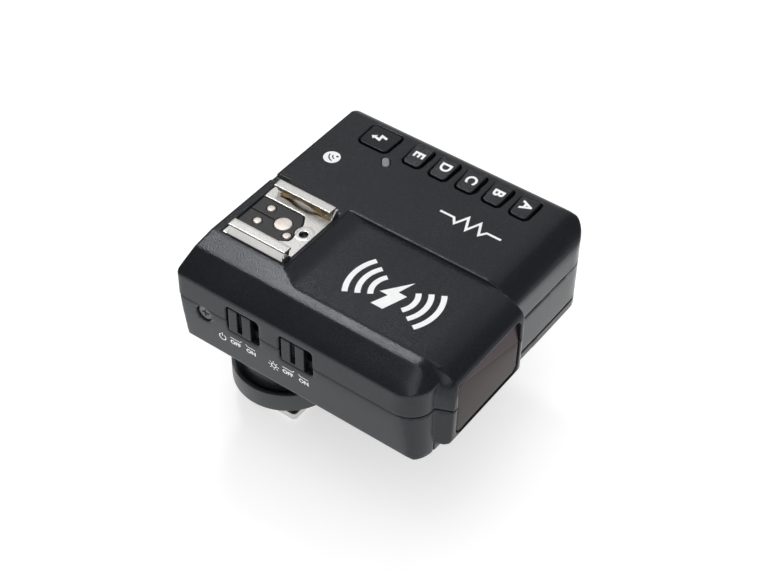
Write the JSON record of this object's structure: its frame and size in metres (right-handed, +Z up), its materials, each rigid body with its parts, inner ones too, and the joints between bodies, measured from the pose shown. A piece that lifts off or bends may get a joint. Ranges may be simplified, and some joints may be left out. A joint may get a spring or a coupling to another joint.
{
  "type": "wireless flash trigger",
  "caption": "Low box-shaped radio flash trigger with a top accessory shoe, side group keys, slide switches, a front assist lamp, a rear display with dial and a lockable shoe foot.",
  "frame": {"origin": "middle of the underside of the mounting foot, directly under the middle of the top accessory shoe", "axes": "+Z up through the top deck; -Y towards the assist lamp (the front), +Y towards the display and the user; +X towards the group keys, -X towards the slide switches"},
  "size_m": [0.0701, 0.074, 0.0582],
  "materials": {
    "casing_plastic": "fine matt texture",
    "foot_plastic": "smooth satin",
    "key_plastic": "fine matt",
    "shoe_plastic": "smooth",
    "rubber": "matt",
    "plated_steel": "satin nickel plate",
    "brass": "tarnished",
    "lamp_lens": "dark red-brown tint, glossy",
    "display_window": "glossy",
    "circuit_board": "green solder mask",
    "light_pipe": "frosted",
    "cell_wrap": "printed wrap"
  },
  "bodies": {
    "casing": {"top_casing": "casing_plastic", "bottom_casing": "casing_plastic", "rear_panel": "casing_plastic", "foot_block": "foot_plastic", "shoe_insulator": "shoe_plastic", "power_switch_body": "shoe_plastic", "assist_switch_body": "shoe_plastic", "key_mat": "rubber", "sync_jack": "rubber", "shoe_rails": "plated_steel", "shoe_contact_centre": "plated_steel", "shoe_contact_a": "plated_steel", "shoe_contact_b": "plated_steel", "shoe_contact_c": "plated_steel", "casing_screw": "plated_steel", "dial_encoder": "plated_steel", "battery_contact_left": "plated_steel", "battery_contact_right": "plated_steel", "usb_socket": "plated_steel", "foot_plate": "plated_steel", "shoe_spring": "brass", "radio_aerial": "brass", "assist_lens": "lamp_lens", "display_window": "display_window", "assist_board": "circuit_board", "main_board": "circuit_board", "rear_board": "circuit_board", "display_module": "circuit_board", "assist_emitter": "light_pipe", "status_lamp": "light_pipe", "cell_a": "cell_wrap", "cell_b": "cell_wrap"},
    "test_key_body": {"test_key": "key_plastic"},
    "key_a_body": {"key_a": "key_plastic"},
    "key_b_body": {"key_b": "key_plastic"},
    "key_c_body": {"key_c": "key_plastic"},
    "key_d_body": {"key_d": "key_plastic"},
    "key_e_body": {"key_e": "key_plastic"},
    "power_knob_body": {"power_knob": "key_plastic"},
    "assist_knob_body": {"assist_knob": "key_plastic"},
    "function_button_1_body": {"function_button_1": "key_plastic"},
    "function_button_2_body": {"function_button_2": "key_plastic"},
    "function_button_3_body": {"function_button_3": "key_plastic"},
    "function_button_4_body": {"function_button_4": "key_plastic"},
    "menu_button_body": {"menu_button": "key_plastic"},
    "mode_button_body": {"mode_button": "key_plastic"},
    "dial_body": {"dial": "key_plastic"},
    "set_button_body": {"set_button": "key_plastic"},
    "battery_door_body": {"battery_door": "casing_plastic"},
    "port_cover_body": {"port_cover": "rubber"},
    "lock_ring_body": {"lock_ring": "foot_plastic"},
    "lock_pin_body": {"lock_pin": "plated_steel"},
    "foot_pin_centre_body": {"foot_pin_centre": "brass"},
    "foot_pin_a_body": {"foot_pin_a": "brass"},
    "foot_pin_b_body": {"foot_pin_b": "brass"},
    "foot_pin_c_body": {"foot_pin_c": "brass"}
  },
  "joints": [
    {"name": "test_key_slide", "type": "slide", "parent": "casing", "child": "test_key_body", "axis": [0, 0, -1], "range_m": [0, 0.0006], "stiffness_N_per_m": 400},
    {"name": "key_a_slide", "type": "slide", "parent": "casing", "child": "key_a_body", "axis": [0, 0, -1], "range_m": [0, 0.0006], "stiffness_N_per_m": 400},
    {"name": "key_b_slide", "type": "slide", "parent": "casing", "child": "key_b_body", "axis": [0, 0, -1], "range_m": [0, 0.0006], "stiffness_N_per_m": 400},
    {"name": "key_c_slide", "type": "slide", "parent": "casing", "child": "key_c_body", "axis": [0, 0, -1], "range_m": [0, 0.0006], "stiffness_N_per_m": 400},
    {"name": "key_d_slide", "type": "slide", "parent": "casing", "child": "key_d_body", "axis": [0, 0, -1], "range_m": [0, 0.0006], "stiffness_N_per_m": 400},
    {"name": "key_e_slide", "type": "slide", "parent": "casing", "child": "key_e_body", "axis": [0, 0, -1], "range_m": [0, 0.0006], "stiffness_N_per_m": 400},
    {"name": "function_button_1_slide", "type": "slide", "parent": "casing", "child": "function_button_1_body", "axis": [0, -1, 0], "range_m": [0, 0.0005], "stiffness_N_per_m": 400},
    {"name": "function_button_2_slide", "type": "slide", "parent": "casing", "child": "function_button_2_body", "axis": [0, -1, 0], "range_m": [0, 0.0005], "stiffness_N_per_m": 400},
    {"name": "function_button_3_slide", "type": "slide", "parent": "casing", "child": "function_button_3_body", "axis": [0, -1, 0], "range_m": [0, 0.0005], "stiffness_N_per_m": 400},
    {"name": "function_button_4_slide", "type": "slide", "parent": "casing", "child": "function_button_4_body", "axis": [0, -1, 0], "range_m": [0, 0.0005], "stiffness_N_per_m": 400},
    {"name": "menu_button_slide", "type": "slide", "parent": "casing", "child": "menu_button_body", "axis": [0, -1, 0], "range_m": [0, 0.0005], "stiffness_N_per_m": 400},
    {"name": "mode_button_slide", "type": "slide", "parent": "casing", "child": "mode_button_body", "axis": [0, -1, 0], "range_m": [0, 0.0005], "stiffness_N_per_m": 400},
    {"name": "set_button_slide", "type": "slide", "parent": "casing", "child": "set_button_body", "axis": [0, -1, 0], "range_m": [0, 0.0005], "stiffness_N_per_m": 400},
    {"name": "power_knob_slide", "type": "slide", "parent": "casing", "child": "power_knob_body", "axis": [0, -1, 0], "range_m": [0, 0.0022]},
    {"name": "assist_knob_slide", "type": "slide", "parent": "casing", "child": "assist_knob_body", "axis": [0, -1, 0], "range_m": [0, 0.0022]},
    {"name": "battery_door_slide", "type": "slide", "parent": "casing", "child": "battery_door_body", "axis": [0, -1, 0], "range_m": [0, 0.006]},
    {"name": "dial_turn", "type": "hinge", "parent": "casing", "child": "dial_body", "pos_m": [-0.0075, 0.0098, 0.0375], "axis": [0, 1, 0], "continuous": true},
    {"name": "port_cover_turn", "type": "hinge", "parent": "casing", "child": "port_cover_body", "pos_m": [0.0451, -0.00425, 0.0335], "axis": [0, 1, 0], "range_deg": [0, 100]},
    {"name": "lock_ring_turn", "type": "hinge", "parent": "casing", "child": "lock_ring_body", "pos_m": [0, 0, 0.0076], "axis": [0, 0, 1], "range_deg": [0, 80]},
    {"name": "lock_pin_slide", "type": "slide", "parent": "casing", "child": "lock_pin_body", "axis": [0, 0, -1], "range_m": [0, 0.0013]},
    {"name": "foot_pin_centre_slide", "type": "slide", "parent": "casing", "child": "foot_pin_centre_body", "axis": [0, 0, 1], "range_m": [0, 0.0005], "stiffness_N_per_m": 300},
    {"name": "foot_pin_a_slide", "type": "slide", "parent": "casing", "child": "foot_pin_a_body", "axis": [0, 0, 1], "range_m": [0, 0.0005], "stiffness_N_per_m": 300},
    {"name": "foot_pin_b_slide", "type": "slide", "parent": "casing", "child": "foot_pin_b_body", "axis": [0, 0, 1], "range_m": [0, 0.0005], "stiffness_N_per_m": 300},
    {"name": "foot_pin_c_slide", "type": "slide", "parent": "casing", "child": "foot_pin_c_body", "axis": [0, 0, 1], "range_m": [0, 0.0005], "stiffness_N_per_m": 300}
  ],
  "couplings": [
    {"joint": "lock_pin_slide", "follows": "lock_ring_turn", "m_per_rad": 0.00093}
  ]
}
